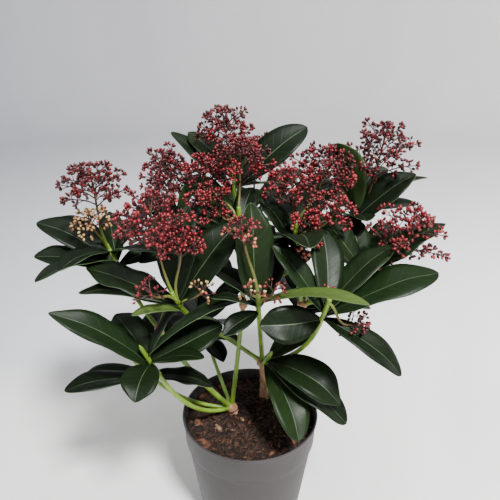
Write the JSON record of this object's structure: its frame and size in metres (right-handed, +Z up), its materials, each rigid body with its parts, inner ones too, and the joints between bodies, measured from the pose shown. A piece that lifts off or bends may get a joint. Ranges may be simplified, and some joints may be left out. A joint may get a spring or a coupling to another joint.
{
  "type": "potted shrub",
  "caption": "Small evergreen shrub in bud, with whorls of oblong leaves and branched flower heads, in a round tapered nursery pot filled with potting mix.",
  "frame": {"origin": "centre of the pot's flat underside", "axes": "+Z up along the pot's axis; +X to the right and -Y towards the front, as the plant is seen"},
  "size_m": [0.3411, 0.2798, 0.4051],
  "materials": {
    "pot_plastic": "matte taupe grey moulded plastic",
    "potting_mix": "loose dark peat and bark chips",
    "stem_bark": "beige brown young bark",
    "bough_bark": "smooth lime green shoots",
    "foliage": "dark green leaves with a soft sheen, and crimson buds"
  },
  "bodies": {
    "root": {"pot": "pot_plastic", "potting_mix": "potting_mix", "stem_a": "stem_bark", "stem_b": "stem_bark", "bough_left": "bough_bark", "bough_low_left": "bough_bark", "bough_low_left_outer": "bough_bark", "bough_up": "bough_bark", "bough_low_back_left": "bough_bark", "bough_centre": "bough_bark", "bough_front_right": "bough_bark", "bough_right": "bough_bark", "bough_low_right": "bough_bark", "bough_back": "bough_bark", "bough_low_back_right": "bough_bark", "bough_front_left": "bough_bark", "branch_left_middle": "bough_bark", "branch_left": "bough_bark", "branch_top": "bough_bark", "branch_middle": "bough_bark", "branch_right": "bough_bark", "branch_right_back": "bough_bark", "branch_far_right": "bough_bark", "branch_back_left": "bough_bark", "branch_back": "bough_bark", "branch_back_right": "bough_bark", "low_left": "foliage", "low_left_outer": "foliage", "front_left": "foliage", "left": "foliage", "left_middle": "foliage", "top": "foliage", "middle": "foliage", "centre_front": "foliage", "right": "foliage", "right_back": "foliage", "far_right": "foliage", "front_right": "foliage", "low_right": "foliage", "low_back_left": "foliage", "low_back_right": "foliage", "back_left": "foliage", "back": "foliage", "back_right": "foliage"}
  },
  "joints": []
}
